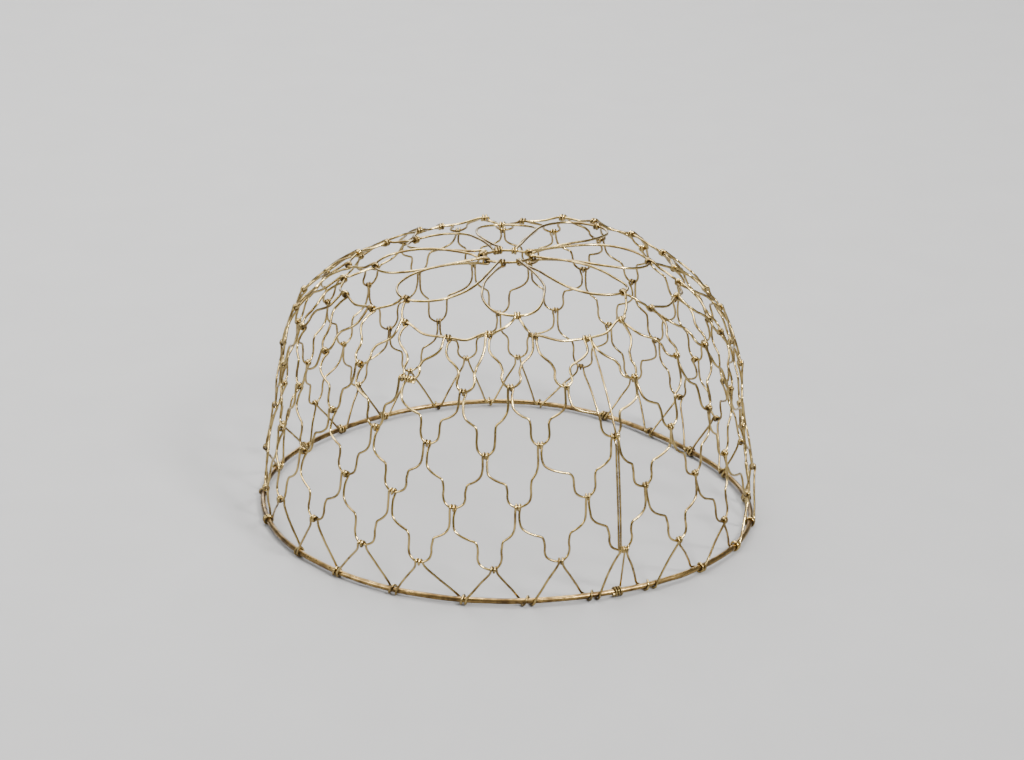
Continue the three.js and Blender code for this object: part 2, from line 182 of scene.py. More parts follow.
@dataclass(frozen=True)
class Crossing:
    """A place where one wire is wrapped over another, with its own directions."""

    azimuth: float
    radius: float
    height: float
    point: Vector
    across: Vector
    down: Vector
    out: Vector

    def beside(self, across: float, down: float, out: float) -> Vector:
        """Returns the point that many mm across, down and out from the crossing."""
        return self.point + self.across * across + self.down * down + self.out * out


def point_at(azimuth: float, radius: float, height: float) -> Vector:
    """Returns the point at an azimuth in degrees, a radius and a height in mm."""
    angle = math.radians(azimuth)
    return AXIS + Vector((radius * math.sin(angle), -radius * math.cos(angle), height))


def crossing(row: Row, index: int) -> Crossing:
    """Finds one crossing of a row.

    Args:
        row: The ring that the crossing is on.
        index: Its number round the ring; it may be negative or past the end.

    Returns:
        The crossing, with its dent and its directions.
    """
    ring = RINGS[row]
    azimuth, radius, height = ring.place(index)
    if row is Row.SCALLOP:
        radius += SCALLOP_BELLY if index % LOOPS_PER_PETAL == 0 else -SCALLOP_BELLY / 2
    count = round(360 / ring.pitch)
    for dent in DENTS.get(row, ()):
        if (index - dent.at) % count == 0:
            azimuth += math.degrees(dent.across / radius)
            height -= dent.down
    order = ORDER.index(row)
    above, below = RINGS[ORDER[max(order - 1, 0)]], RINGS[ORDER[min(order + 1, len(ORDER) - 1)]]
    angle = math.radians(azimuth)
    outward = Vector((math.sin(angle), -math.cos(angle), 0.0))
    across = Vector((math.cos(angle), math.sin(angle), 0.0))
    if row is Row.RING:
        down = outward
    else:
        down = (outward * (below.radius - above.radius) - UP * (above.height - below.height)).normalized()
    return Crossing(azimuth, radius, height, point_at(azimuth, radius, height), across, down,
                    down.cross(across).normalized())


def rim_crossing(index: float) -> Crossing:
    """Finds a wrap's place on the rim; its dent only slides it along the rim.

    Args:
        index: The wrap's number, whole or not.

    Returns:
        The crossing, with the rim's own direction across.
    """
    slide = sum(dent.across for dent in DENTS[Row.RIM] if (index - dent.at) % LOOPS == 0)
    at = index + math.degrees(slide / RINGS[Row.RIM].radius) / LOOP_PITCH
    before, middle, after = (point_at(*RINGS[Row.RIM].place(at + step))
                             for step in (-RIM_TANGENT, 0.0, RIM_TANGENT))
    across = (after - before).normalized()
    outward = across.cross(UP).normalized()
    azimuth, radius, height = RINGS[Row.RIM].place(at)
    return Crossing(azimuth, radius, height, middle, across, -UP, outward)


SHORTEST_CHORD = 1e-4
BEND_PER_PIECE = math.radians(16)
MOST_BEND_PIECES = 6


@dataclass
class Wire:
    """A wire under construction: the points that it runs through, with its thickness at each.

    Attributes:
        radius: The wire's radius in mm.
        closed: True where its two ends are one.
        sides: Number of flat sides round its section.
        step: Greatest distance between two of its sections, in mm.
    """

    radius: float
    closed: bool = True
    sides: int = 12
    step: float = 0.8
    points: list[Vector] = field(default_factory=list)
    # Depth of the painted shade at each point, from 0 to 1.
    shade_weight: list[float] = field(default_factory=list)

    def through(self, *points: Vector, shade_weight: float = 0.0) -> "Wire":
        """Adds points to the run.

        Args:
            *points: The points, in order.
            shade_weight: How deep the painted shade is there, where the wire passes under or round others,
                from 0 to 1.

        Returns:
            The wire itself.
        """
        self.points.extend(points)
        self.shade_weight.extend([shade_weight] * len(points))
        return self

    def smooth(self) -> tuple[list[Vector], list[float]]:
        """Lays a centripetal spline through the points.

        Returns:
            The points of the smooth run and the depth of the painted shade at each.
        """
        count = len(self.points)
        spans = count if self.closed else count - 1
        run: list[Vector] = []
        crossing_shade: list[float] = []
        for span in range(spans):
            p = [self._point(span + k) for k in (-1, 0, 1, 2)]
            h0, h1 = self.shade_weight[span % count], self.shade_weight[(span + 1) % count]
            knots = [0.0]
            for a, b in zip(p, p[1:]):
                knots.append(knots[-1] + math.sqrt(max((b - a).length, SHORTEST_CHORD)))
            pieces = max(1, math.ceil((p[2] - p[1]).length / self.step))
            turning = (p[1] - p[0]).angle(p[2] - p[1], 0.0) + (p[2] - p[1]).angle(p[3] - p[2], 0.0)
            pieces = max(pieces, min(MOST_BEND_PIECES, math.ceil(turning / 2 / BEND_PER_PIECE)))
            for k in range(pieces):
                share = k / pieces
                run.append(_spline(p, knots, knots[1] + (knots[2] - knots[1]) * share))
                crossing_shade.append(h0 + (h1 - h0) * share)
        if not self.closed:
            run.append(self.points[-1])
            crossing_shade.append(self.shade_weight[-1])
        return run, crossing_shade

    def _point(self, index: int) -> Vector:
        """Returns a point by number, round a closed wire or held at an open wire's ends."""
        count = len(self.points)
        if self.closed:
            return self.points[index % count]
        if index < 0:
            return self.points[0] * 2 - self.points[1]
        if index >= count:
            return self.points[-1] * 2 - self.points[-2]
        return self.points[index]

    def mesh(self, name: str, seed: int) -> bpy.types.Object:
        """Draws the wire as a bevelled curve and turns it into a mesh.

        Args:
            name: The piece's name.
            seed: Number that its unevenness is drawn from.

        Returns:
            The mesh object, at the origin, with a vertex attribute that holds the depth of the painted
            shade.
        """
        run, crossing_shade = self.smooth()
        bpy.ops.object.select_all(action="DESELECT")
        bpy.ops.curve.primitive_nurbs_path_add(location=(0.0, 0.0, 0.0))
        piece = bpy.context.object
        piece.name = name
        curve = piece.data
        curve.splines.clear()
        spline = curve.splines.new("POLY")
        spline.points.add(len(run) - 1)
        spline.use_cyclic_u = self.closed
        thickness = _uneven(run, self.closed, seed)
        for knot, place, share in zip(spline.points, run, thickness):
            knot.co = (*(place * METRES), 1.0)
            knot.radius = share
        curve.dimensions = "3D"
        curve.twist_mode = "MINIMUM"
        curve.bevel_depth = self.radius * METRES
        curve.bevel_resolution = self.sides // 2 - 2
        curve.use_fill_caps = not self.closed
        bpy.ops.object.convert(target="MESH")
        piece = bpy.context.object
        piece.data.name = name
        self._mark(piece.data, crossing_shade)
        bpy.ops.object.shade_smooth()
        bpy.ops.object.select_all(action="DESELECT")
        return piece

    def _mark(self, mesh: bpy.types.Mesh, crossing_shade: Sequence[float]) -> None:
        """Stores on each vertex how deep the painted shade is there."""
        last = len(crossing_shade) - 1
        values = [crossing_shade[min(vertex // self.sides, last)] for vertex in range(len(mesh.vertices))]
        mesh.attributes.new("crossing_shade", "FLOAT", "POINT").data.foreach_set("value", values)


def _spline(p: Sequence[Vector], t: Sequence[float], at: float) -> Vector:
    """Returns the point at knot value at of the centripetal spline through four points."""
    a1 = p[0].lerp(p[1], (at - t[0]) / (t[1] - t[0]))
    a2 = p[1].lerp(p[2], (at - t[1]) / (t[2] - t[1]))
    a3 = p[2].lerp(p[3], (at - t[2]) / (t[3] - t[2]))
    b1 = a1.lerp(a2, (at - t[0]) / (t[2] - t[0]))
    b2 = a2.lerp(a3, (at - t[1]) / (t[3] - t[1]))
    return b1.lerp(b2, (at - t[1]) / (t[2] - t[1]))


THICKNESS_FOLDS = (7, 11, 17, 29, 43)
THICKNESS_WAVES = 4
THICKNESS_CHANGE = 0.012
OPEN_STRETCH = 4


def _uneven(run: Sequence[Vector], closed: bool, seed: int) -> list[float]:
    """Draws a hand-drawn wire's slow changes of thickness, as shares of its radius.

    Args:
        run: The wire's points.
        closed: True where the last point joins the first.
        seed: Number that the waves are drawn from.

    Returns:
        One share for each point, near 1.
    """
    dice = random.Random(seed)
    waves = [(dice.choice(THICKNESS_FOLDS), dice.uniform(0, 2 * math.pi)) for _ in range(THICKNESS_WAVES)]
    count = len(run) * (1 if closed else OPEN_STRETCH)
    shares = []
    for k in range(len(run)):
        swell = sum(math.sin(2 * math.pi * folds * k / count + start) for folds, start in waves)
        shares.append(1 + THICKNESS_CHANGE * swell)
    return shares


@dataclass(frozen=True)
class Lean:
    """A loop whose bottom was bent to one side of its crossing: mm towards growing azimuth."""

    at: int
    across: float


LEANS: dict[Row, tuple[Lean, ...]] = {
    Row.ROW3: (Lean(-1, 0.9), Lean(0, 0.8), Lean(1, 0.5), Lean(2, -0.4), Lean(3, -1.2)),
    Row.ROW4: (Lean(-1, 0.9), Lean(0, 0.1), Lean(1, 0.3), Lean(2, -0.7)),
    Row.ROW5: (Lean(-1, 1.0), Lean(0, 0.6), Lean(1, 0.6), Lean(2, -0.6)),
    Row.ROW6: (Lean(-2, 1.1), Lean(-1, 0.2), Lean(0, -1.1), Lean(1, -1.0), Lean(2, -0.7), Lean(3, -0.3)),
}


class Station(NamedTuple):
    """A place on a leg: a share of the way across, or of the cup's half width, and of the way down."""

    across: float
    down: float


@dataclass(frozen=True)
class LegShape:
    """How a leg runs from its hook to the bottom of its loop.

    Attributes:
        fall: Stations of the upper part, across from the hook to the corner.
        cup: Stations of the lower part, as shares of the cup's half width.
        half_width: Half the width of the cup at the loop's bottom, in mm.
        bulge: How far the middle of the leg stands out from the straight line, in mm.
        wobble: Greatest uneven shift of a station, in mm.
        common: Share of the wobble that all the stations of a leg have together.
        out_wobble: Greatest uneven shift of a leg's middle outwards, in mm.
        sit: How far outside or inside the hook's wire the leg leaves it, in mm.
        sit_end: Share of the way down where the leg is in line again.
        lean_rate: How soon the cup takes up the lean of the loop's bottom.
    """

    fall: tuple[Station, ...]
    cup: tuple[Station, ...] = ()
    half_width: float = 0.0
    bulge: float = 0.0
    wobble: float = 0.25
    common: float = 0.6
    out_wobble: float = 0.25
    sit: float = 0.75
    sit_end: float = 0.34
    lean_rate: float = 1.4


GOBLET_FALL = (Station(0.0, 0.12), Station(0.01, 0.26), Station(0.08, 0.365), Station(0.32, 0.45),
               Station(0.66, 0.51), Station(0.92, 0.55))
GOBLET_CUP = (Station(1.0, 0.62), Station(0.95, 0.71), Station(0.97, 0.81), Station(0.84, 0.905),
              Station(0.54, 0.966), Station(0.24, 0.997))
UPPER_FALL = (Station(0.0, 0.12), Station(0.02, 0.24), Station(0.09, 0.335), Station(0.32, 0.43),
              Station(0.66, 0.515), Station(0.92, 0.58))
UPPER_CUP = (Station(0.97, 0.64), Station(0.86, 0.72), Station(0.97, 0.82), Station(0.86, 0.905),
             Station(0.55, 0.966), Station(0.24, 0.997))
PETAL_FALL = (Station(0.0, 0.10), Station(0.0, 0.30), Station(0.01, 0.46), Station(0.05, 0.58),
              Station(0.14, 0.70), Station(0.25, 0.79), Station(0.38, 0.87), Station(0.54, 0.93),
              Station(0.72, 0.975), Station(0.88, 0.998))
STRAIGHT_FALL = (Station(0.07, 0.14), Station(0.42, 0.46), Station(0.74, 0.76))
SHOULDER = (Station(0.16, 0.8), Station(0.40, 0.9), Station(0.68, 0.62))


@dataclass(frozen=True)
class Tuck:
    """A petal leg that is pulled in: its petal, its side and how much nearer the middle it runs."""

    petal: int
    side: int
    share: float
    deepest: float = 0.75

    def value(self, down: float) -> float:
        """Returns the share across that the tuck adds at a share of the way down."""
        return self.share * (down / self.deepest) ** 3 * (1 - down) / (1 - self.deepest)


TUCKS = (Tuck(1, 1, 0.08), Tuck(1, -1, 0.23), Tuck(2, -1, 0.35), Tuck(5, 1, -0.13), Tuck(5, -1, 0.12))


@dataclass(frozen=True)
class Wrap:
    """Turns of a wire round another wire.

    Attributes:
        reach: Distance between the two wires' middles, in mm.
        half_turns: Number of half turns, odd where the wire leaves on the other side.
        pitch: How far one turn moves along, in mm.
        leg_gap: Distance between the two legs that leave it, in mm.
        shift: How far beside the crossing's middle it sits, in mm.
        lead: How far it sits towards its right end, as a share of the pitch.
        slant: Greatest slant of its turns, in mm.
        slip: Greatest shift of the whole wrap, in mm.
        looseness: Greatest change of its reach, as a share.
        hide_rate: How soon the painted shade deepens within its own turns.
    """

    reach: float = 0.90
    half_turns: int = 3
    pitch: float = 1.12
    leg_gap: float = 1.3
    shift: float = 0.0
    lead: float = 0.18
    slant: float = 0.14
    slip: float = 0.15
    looseness: float = 0.02
    hide_rate: float = 2.4

    def lay(self, wire: Wire, at: Crossing, dice: random.Random) -> None:
        """Winds the wire over a crossing, from its outside at the left to its inside at the right.

        Args:
            wire: The wire that is wound.
            at: The crossing that it goes over.
            dice: Source of the wrap's unevenness.
        """
        steps = TURN_STEPS * self.half_turns // 2
        spread = self.pitch * self.half_turns / 4
        tilt = dice.uniform(-self.slant, self.slant)
        middle = self.shift + self.pitch * self.lead + dice.uniform(-self.slip, self.slip)
        for step in range(steps + 1):
            angle = 2 * math.pi * step / TURN_STEPS
            across = middle + spread * (2 * step / steps - 1) + tilt * math.sin(angle)
            reach = self.reach * (1 + self.looseness * dice.uniform(-1, 1))
            # Painted shade, deepest in the middle of the wrap's turns.
            crossing_shade = min(1.0, self.hide_rate * min(step, steps - step) / steps)
            wire.through(at.beside(across, -reach * math.sin(angle), reach * math.cos(angle)), shade_weight=crossing_shade)


@dataclass(frozen=True)
class Turns:
    """Close turns over a crossing: where they start and end, in mm across, and how many they are."""

    start: float
    end: float
    count: float

    def lay(self, wire: Wire, at: Crossing, reach: float, shade_weight: float = 0.7) -> None:
        """Winds a wire over a crossing.

        Args:
            wire: The wire that is wound.
            at: The crossing that it goes over.
            reach: Distance between the two middles, in mm; below zero it starts inside and goes under.
            shade_weight: How deep the painted shade is there, from 0 to 1.
        """
        steps = round(TURN_STEPS * self.count)
        for step in range(steps + 1):
            angle = 2 * math.pi * step / TURN_STEPS
            across = self.start + (self.end - self.start) * step / steps
            wire.through(at.beside(across, -reach * math.sin(angle), reach * math.cos(angle)), shade_weight=shade_weight)


@dataclass(frozen=True)
class Span:
    """A free length of wire between two crossings.

    Attributes:
        leaves: Where it leaves the first crossing, in mm across, down and out.
        meets: Where it meets the second crossing, in mm across, down and out.
        belly: How far its middle stands out of the cap, in mm.
        steps: Number of its parts.
    """

    leaves: tuple[float, float, float]
    meets: tuple[float, float, float]
    belly: float = 0.0
    steps: int = 5

    def lay(self, wire: Wire, first: Crossing, second: Crossing, out: Vector) -> None:
        """Runs a wire from one crossing to another, with its belly towards out."""
        start, end = first.beside(*self.leaves), second.beside(*self.meets)
        for step in range(self.steps + 1):
            share = step / self.steps
            wire.through(start.lerp(end, share) + out * self.belly * 4 * share * (1 - share))


@dataclass(frozen=True)
class Leg:
    """One leg of a loop.

    Attributes:
        hook: The crossing that the leg hangs from.
        bottom: The crossing at the loop's bottom.
        side: 1 for the leg towards growing azimuth, and -1 for the other.
        wrap: The wrap over the hook.
        lean: How far the loop's bottom is bent towards growing azimuth, in mm.
        tuck: What pulls the leg in, if anything.
    """

    hook: Crossing
    bottom: Crossing
    side: int
    wrap: Wrap
    lean: float = 0.0
    tuck: Tuck | None = None

    def points(self, shape: LegShape, dice: random.Random) -> list[Vector]:
        """Finds the points of the leg, from the hook down.

        Args:
            shape: The leg's stations.
            dice: Source of the leg's unevenness.

        Returns:
            The points.
        """
        slip_across, slip_out = dice.uniform(-1, 1), dice.uniform(-1, 1)
        corner = self._cup_azimuth(shape, 1.0) if shape.cup else self.bottom.azimuth
        start = self.wrap.shift + self.side * self.wrap.leg_gap / 2
        places = []
        for across, down in shape.fall:
            share = across + (self.tuck.value(down) if self.tuck else 0.0)
            left_at = self.hook.azimuth + math.degrees(start / self._radius(down))
            places.append((left_at + (corner - left_at) * share, down))
        places += [(self._cup_azimuth(shape, width), down) for width, down in shape.cup]
        points = []
        for azimuth, down in places:
            free = 4 * down * (1 - down)
            own = (1 - shape.common) * dice.uniform(-1, 1)
            slip = shape.wobble * free * (shape.common * slip_across + own)
            out = self.hook.out.lerp(self.bottom.out, down)
            sit = -self.side * shape.sit * max(0.0, 1 - down / shape.sit_end)
            height = self.hook.height + (self.bottom.height - self.hook.height) * down
            radius = self._radius(down)
            points.append(point_at(azimuth + math.degrees(slip / radius), radius, height)
                          + out * (shape.bulge * free + sit + shape.out_wobble * free * slip_out))
        return points

    def _radius(self, down: float) -> float:
        """Returns the radius at a share of the way down."""
        return self.hook.radius + (self.bottom.radius - self.hook.radius) * down

    def _cup_azimuth(self, shape: LegShape, width: float) -> float:
        """Returns the azimuth at a share of the cup's half width."""
        offset = -self.side * shape.half_width * width + self.lean * min(1.0, shape.lean_rate * width)
        return self.bottom.azimuth + math.degrees(offset / self.bottom.radius)


@dataclass
class CapWire:
    """One of the cap's wires, as a piece that stands for a node of the solid model.

    Attributes:
        node: Name of the solid that it stands for.
        slot: The record's material slot; it is not used.
        finish: The finish that it is dressed in.
        radius: The wire's radius in mm.
        seed: Number that its unevenness is drawn from.
    """

    node: str
    slot: str
    finish: "WireFinish"
    radius: float = NET_RADIUS
    seed: int = 1

    def route(self, dice: random.Random) -> list[Wire]:
        """Returns the wires of this piece, the first of which stands for the node."""
        raise NotImplementedError

    def make(self) -> bpy.types.Object:
        """Builds the piece, dresses it and sets it on the cap.

        Returns:
            The finished piece.
        """
        wires = self.route(random.Random(self.seed))
        parts = [wire.mesh(f"{self.node}_strand_{k}", self.seed + k) for k, wire in enumerate(wires)]
        for part in parts:
            part.select_set(True)
        bpy.context.view_layer.objects.active = parts[0]
        if len(parts) > 1:
            bpy.ops.object.join()
        piece = bpy.context.object
        bpy.ops.object.select_all(action="DESELECT")
        piece.name = piece.data.name = f"{self.node}_wire"
        piece.data.materials.clear()
        piece.data.materials.append(self.finish.material())
        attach(piece, "root")
        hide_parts(self.node)
        log.info("%s: %d faces", piece.name, len(piece.data.polygons))
        return piece


@dataclass
class TopRing(CapWire):
    """The small wire ring at the crown, straight from one hook to the next.

    Attributes:
        corner: How far from a hook its bend starts, in mm.
        dip: How far a bend is pulled inwards, in mm.
    """

    radius: float = 0.5
    corner: float = 0.9
    dip: float = 0.12

    def route(self, dice: random.Random) -> list[Wire]:
        """Returns the ring's one closed wire."""
        wire = Wire(self.radius)
        knots = [crossing(Row.RING, index).point for index in range(PETALS)]
        for index, knot in enumerate(knots):
            before, after = knots[index - 1], knots[(index + 1) % PETALS]
            inward = (before + after) / 2 - knot
            wire.through(knot + (before - knot).normalized() * self.corner,
                         knot + inward.normalized() * self.dip,
                         knot + (after - knot).normalized() * self.corner)
        return [wire]


@dataclass
class PetalRow(CapWire):
    """The wire that is wrapped on the top ring and drawn out into petals.

    Attributes:
        shape: How the legs run.
        reach: Distance between the middles of this wire and the ring, in mm.
        pitch: How far one turn moves along the ring, in mm.
        full_hooks: Hooks with more turns than most, as number and half turns.
    """

    shape: LegShape = LegShape(PETAL_FALL, bulge=1.5, wobble=0.45)
    reach: float = 0.98
    pitch: float = 1.02
    full_hooks: tuple[tuple[int, int], ...] = ((5, 5), (6, 7))

    def route(self, dice: random.Random) -> list[Wire]:
        """Returns the petals' one closed wire."""
        wire = Wire(self.radius)
        for index in range(PETALS):
            end = crossing(Row.PETAL, index + 1)
            hook, following = crossing(Row.RING, index), crossing(Row.RING, index + 1)
            wrap = Wrap(self.reach, dict(self.full_hooks).get(index, Wrap.half_turns), self.pitch)
            wrap.lay(wire, hook, dice)
            legs = [Leg(at, end, side, wrap, tuck=self._tuck(index + 1, side))
                    for at, side in ((hook, 1), (following, -1))]
            wire.through(*legs[0].points(self.shape, dice))
            wire.through(end.point, shade_weight=UNDER_WRAP)
            wire.through(*reversed(legs[1].points(self.shape, dice)))
        return [wire]

    @staticmethod
    def _tuck(petal: int, side: int) -> Tuck | None:
        """Returns what pulls a petal's leg in, if anything."""
        return next((tuck for tuck in TUCKS if tuck.petal == petal and tuck.side == side), None)


@dataclass
class ScallopRow(CapWire):
    """The wire that is wrapped on the petals' ends and hangs in rounded scallops.

    Attributes:
        wrap: The wrap over a petal's end.
        sag: How far it sags between two crossings, in mm.
        sag_change: Greatest change of the sag, in mm.
        drop: How far it drops beside a petal's end before it turns, in mm.
        sit: How far outside or inside the petal it leaves its end, in mm.
        level: Half the length that runs level through a crossing, in mm.
        rise: How far that length rises at its ends, in mm.
    """

    wrap: Wrap = Wrap(0.94)
    sag: float = 1.7
    sag_change: float = 0.3
    drop: float = 2.6
    sit: float = 0.6
    level: float = 1.5
    rise: float = 0.12

    def route(self, dice: random.Random) -> list[Wire]:
        """Returns the scallops' one closed wire."""
        wire = Wire(self.radius)
        for index in range(PETALS):
            hook = crossing(Row.PETAL, index)
            following = crossing(Row.PETAL, index + 1)
            middle = LOOPS_PER_PETAL * index
            first, second, third = (crossing(Row.SCALLOP, middle + step) for step in (-1, 0, 1))
            self.wrap.lay(wire, hook, dice)
            self._shoulder(wire, hook, first, 1)
            for at, past in ((first, second), (second, third)):
                self._level(wire, at)
                down = (at.down + past.down).normalized()
                sag = self.sag + self.sag_change * dice.uniform(-1, 1)
                wire.through((at.point + past.point) / 2 + down * sag)
            self._level(wire, third)
            self._shoulder(wire, following, third, -1)
        return [wire]

    def _shoulder(self, wire: Wire, hook: Crossing, at: Crossing, side: int) -> None:
        """Runs the wire between a petal's end and the crossing beside it, dropping before it turns."""
        start = side * self.wrap.leg_gap / 2
        leaves = hook.beside(start, 0, 0)
        down = (hook.down + at.down).normalized() * self.drop
        points = [hook.beside(start, self.drop / 2, -self.sit * side)]
        points += [leaves.lerp(at.point, station.across) + down * station.down for station in SHOULDER]
        wire.through(*(points if side > 0 else reversed(points)))

    def _level(self, wire: Wire, at: Crossing) -> None:
        """Runs the wire level through a crossing."""
        wire.through(at.beside(-self.level, -self.rise, 0), at.point,
                     at.beside(self.level, -self.rise, 0), shade_weight=UNDER_WRAP)


@dataclass
class GobletRow(CapWire):
    """A row of goblet-shaped loops, hung on the row above.

    Attributes:
        hooks: The ring of crossings that the row hangs from.
        bottoms: The ring of crossings at the loops' bottoms.
        shift: How many crossings on a loop's bottom is from its hook.
        bulge: How far the middles of the legs stand out, in mm.
        half_width: Half the width of the cup at a loop's bottom, in mm.
        spread_hooks: Hooks that were pushed apart, as number and distance between their legs in mm.
        end_coil: Hook beside which the wire's end is wound off, or -1 for none.
        coil: The turns of that end.
        coil_reach: Distance between the middles of the end and the wire below it, in mm.
        coil_shift: How far the wrap on that hook is moved to make room, in mm.
        width_change: Greatest change of a cup's half width, in mm.
        most_lean: Greatest lean of a loop's bottom where none is known, in mm.
    """

    hooks: Row = Row.SCALLOP
    bottoms: Row = Row.ROW3
    shift: int = 0
    bulge: float = 0.3
    half_width: float = 4.0
    spread_hooks: tuple[tuple[int, float], ...] = ()
    end_coil: int = -1
    coil: Turns = Turns(-1.152, 2.592, 3.8)
    coil_reach: float = 0.88
    coil_shift: float = -1.8
    width_change: float = 0.3
    most_lean: float = 0.8

    def wrap(self, index: int) -> Wrap:
        """Returns the wrap over one hook."""
        gap = dict(self.spread_hooks).get(index % LOOPS)
        if self.end_coil == index % LOOPS:
            return Wrap(shift=self.coil_shift)
        return Wrap(leg_gap=gap, pitch=gap / Wrap.leg_gap) if gap else Wrap()

    def route(self, dice: random.Random) -> list[Wire]:
        """Returns the row's one closed wire."""
        wire = Wire(self.radius)
        fall, cup = (UPPER_FALL, UPPER_CUP) if self.bottoms is Row.ROW3 else (GOBLET_FALL, GOBLET_CUP)
        for index in range(LOOPS):
            hook, following = crossing(self.hooks, index), crossing(self.hooks, index + 1)
            bottom = crossing(self.bottoms, index + self.shift)
            half_width = self.half_width + self.width_change * dice.uniform(-1, 1)
            shape = LegShape(fall, cup, half_width, self.bulge)
            lean = self._lean(index + self.shift, dice)
            legs = [Leg(at, bottom, side, self.wrap(number), lean)
                    for at, side, number in ((hook, 1, index), (following, -1, index + 1))]
            self.wrap(index).lay(wire, hook, dice)
            wire.through(*legs[0].points(shape, dice))
            wire.through(bottom.point, shade_weight=UNDER_WRAP)
            wire.through(*reversed(legs[1].points(shape, dice)))
        return [wire] if self.end_coil < 0 else [wire, self._end_coil()]

    def _end_coil(self) -> Wire:
        """Winds the wire's end off along the bottom of the loop above."""
        wire = Wire(self.radius, closed=False)
        self.coil.lay(wire, crossing(self.hooks, self.end_coil), self.coil_reach)
        return wire

    def _lean(self, index: int, dice: random.Random) -> float:
        """Returns how far a loop's bottom is bent to one side, in mm."""
        drawn = dice.uniform(-self.most_lean, self.most_lean)
        known = [lean.across for lean in LEANS[self.bottoms] if (index - lean.at) % LOOPS == 0]
        return known[0] if known else drawn


@dataclass(frozen=True)
class RimWrap:
    """Turns round the rim.

    Attributes:
        turns: Whole turns, or one and a half where the wire leaves over the outside of the rim.
        pitch: How far one turn moves along the rim, in mm.
        reach: Distance between the two wires' middles, in mm.
        start: Angle above the inside at which it starts, in radians.
        slant: Greatest slant of its turns, in mm.
    """

    turns: float = 1.0
    pitch: float = 1.6
    reach: float = 1.46
    start: float = 0.1
    slant: float = 0.2

    @property
    def leaves_outside(self) -> bool:
        """True where the wire leaves over the outside of the rim."""
        return self.turns % 1 != 0

    def lay(self, wire: Wire, foot: Crossing, dice: random.Random) -> None:
        """Winds the wire under the rim, up its outside, over it and down inside, that many times.

        Args:
            wire: The wire that is wound.
            foot: The wrap's place on the rim.
            dice: Source of the wrap's unevenness.
        """
        steps = round(TURN_STEPS * self.turns)
        tilt = dice.uniform(-self.slant, self.slant)
        middle = 0.5 if self.leaves_outside else self.turns / 2
        for step in range(steps + 1):
            angle = 2 * math.pi * step / TURN_STEPS + self.start
            across = self.pitch * (step / TURN_STEPS - middle) + tilt * math.sin(angle)
            lift = self.reach * math.sin(angle)
            wire.through(foot.beside(across, lift, -self.reach * math.cos(angle)), shade_weight=ROUND_RIM)


@dataclass(frozen=True)
class Slant:
    """A wrap whose wire leaves over the outside of the rim.

    Attributes:
        at: The wrap's number.
        before: How far before it the leg from the left reaches the rim, in mm.
        after: How far one turn moves on, after which the wire leaves over the outside, in mm.
    """

    at: int
    before: float
    after: float


SLANTS = (
    Slant(-3, 0.9, 1.6), Slant(-2, 1.1, 1.8), Slant(-1, 1.5, 2.5), Slant(0, 1.6, 1.5),
    Slant(1, 2.2, 3.1), Slant(2, 2.6, 2.9), Slant(3, 2.9, 3.2), Slant(4, 2.9, 1.2),
    Slant(5, 1.8, 1.2), Slant(6, 1.6, 1.2), Slant(7, 1.6, 1.2),
)


@dataclass
class Lacing(CapWire):
    """The wire that laces the lowest loops to the rim.

    Attributes:
        hook_wrap: The wrap over a hook.
        spread_wrap: The wrap over the hook that the mend wire goes through.
        spread_hook: The number of that hook.
        double_wraps: Rim wraps of two turns.
        double_wrap: What such a wrap is.
        stride: How far before and after a plain wrap its legs reach the rim, in mm.
        double_stride: The same for a wrap of two turns, in mm.
        past: How far past an oblique wrap the leg after it reaches the rim, as a share of its pitch.
        beside: How far inside or outside the rim's middle a leg reaches it, in mm.
        above: How far above the rim's middle a leg reaches it, in mm.
    """

    hook_wrap: Wrap = Wrap(leg_gap=1.4)
    spread_wrap: Wrap = Wrap(pitch=2.4, leg_gap=3.4)
    spread_hook: int = 2
    double_wraps: tuple[int, ...] = (-9, -8, -6, -4, 9, 11)
    double_wrap: RimWrap = RimWrap(2.0, 1.2)
    stride: float = 1.6
    double_stride: float = 1.9
    past: float = 1.06
    beside: float = 1.38
    above: float = 0.8

    def route(self, dice: random.Random) -> list[Wire]:
        """Returns the lacing's one closed wire."""
        wire = Wire(self.radius)
        shape = LegShape(STRAIGHT_FALL, wobble=0.3)
        for index in range(LOOPS):
            hook, following = crossing(Row.ROW6, index), crossing(Row.ROW6, index + 1)
            foot = rim_crossing(index + 1)
            turns, before, after = self._rim_wrap(index + 1)
            out = self.beside if turns.leaves_outside else -self.beside
            legs = [Leg(hook, self._landing(foot, -before, -self.beside), 1, self._hook_wrap(index)),
                    Leg(following, self._landing(foot, after, out), -1, self._hook_wrap(index + 1))]
            self._hook_wrap(index).lay(wire, hook, dice)
            wire.through(*legs[0].points(shape, dice))
            wire.through(legs[0].bottom.point, shade_weight=BESIDE_RIM)
            turns.lay(wire, foot, dice)
            wire.through(legs[1].bottom.point, shade_weight=BESIDE_RIM)
            wire.through(*reversed(legs[1].points(shape, dice)))
        return [wire]

    def _hook_wrap(self, index: int) -> Wrap:
        """Returns the wrap over one of the lowest loops, wide where the mend wire goes through it."""
        return self.spread_wrap if index % LOOPS == self.spread_hook else self.hook_wrap

    def _rim_wrap(self, index: int) -> tuple[RimWrap, float, float]:
        """Returns the turns at one wrap of the rim, and how far before and after it the legs reach it."""
        for slant in SLANTS:
            if (index - slant.at) % LOOPS == 0:
                return RimWrap(1.5, slant.after), slant.before, slant.after * self.past
        if index % LOOPS in {number % LOOPS for number in self.double_wraps}:
            return self.double_wrap, self.double_stride, self.double_stride
        return RimWrap(), self.stride, self.stride

    def _landing(self, foot: Crossing, across: float, out: float) -> Crossing:
        """Returns the place where a leg meets the rim, a little along it and inside or outside it."""
        return replace(foot, azimuth=foot.azimuth + math.degrees(across / foot.radius),
                       radius=foot.radius + out, height=foot.height + self.above,
                       point=foot.beside(across, -self.above, out))


